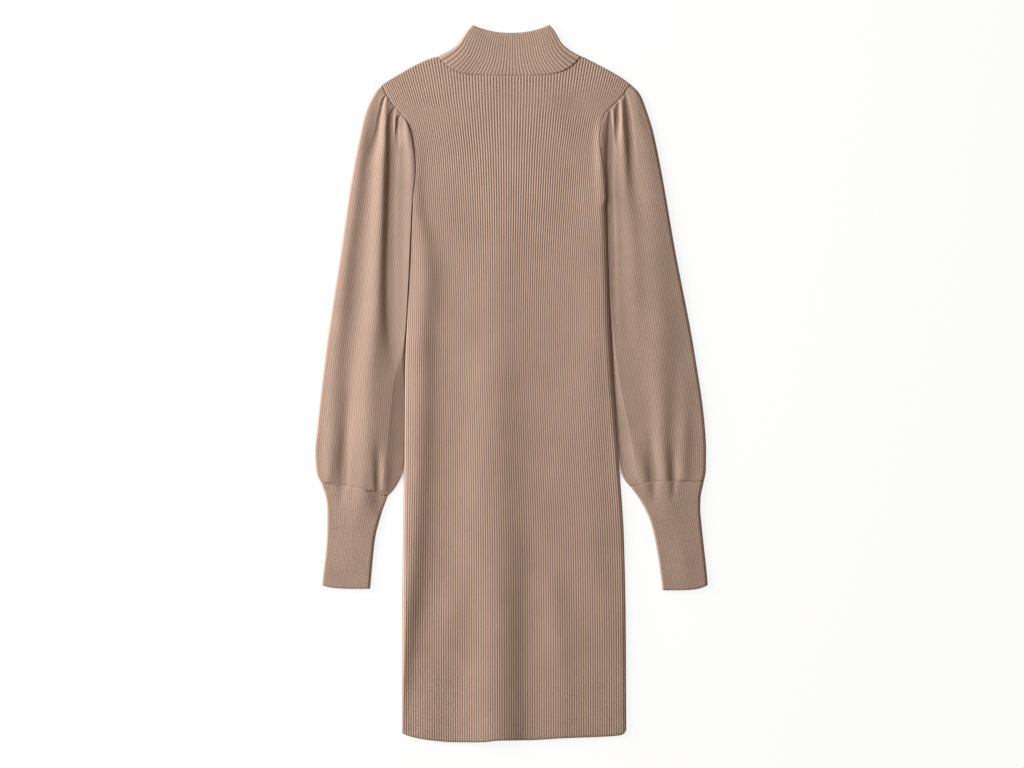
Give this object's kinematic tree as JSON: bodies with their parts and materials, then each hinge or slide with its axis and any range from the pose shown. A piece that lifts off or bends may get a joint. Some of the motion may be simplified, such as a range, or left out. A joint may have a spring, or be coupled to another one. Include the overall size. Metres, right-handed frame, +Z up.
{
  "type": "sweater dress",
  "caption": "Rib-knit sweater dress laid flat, with a mock neck, pleated bishop sleeves and long narrow ribbed cuffs.",
  "frame": {"origin": "on the surface under the middle of the laid-out dress", "axes": "+Z up from the surface, +Y from the hem to the collar, +X to the viewer's right seen from above"},
  "size_m": [0.5205, 0.95, 0.0124],
  "materials": {
    "rib_knit": "matt rose-beige rib knit with a fine soft nap"
  },
  "bodies": {
    "root": {"body_front": "rib_knit", "body_back": "rib_knit", "collar": "rib_knit", "sleeve_left": "rib_knit", "sleeve_right": "rib_knit", "cuff_left": "rib_knit", "cuff_right": "rib_knit"}
  },
  "joints": []
}
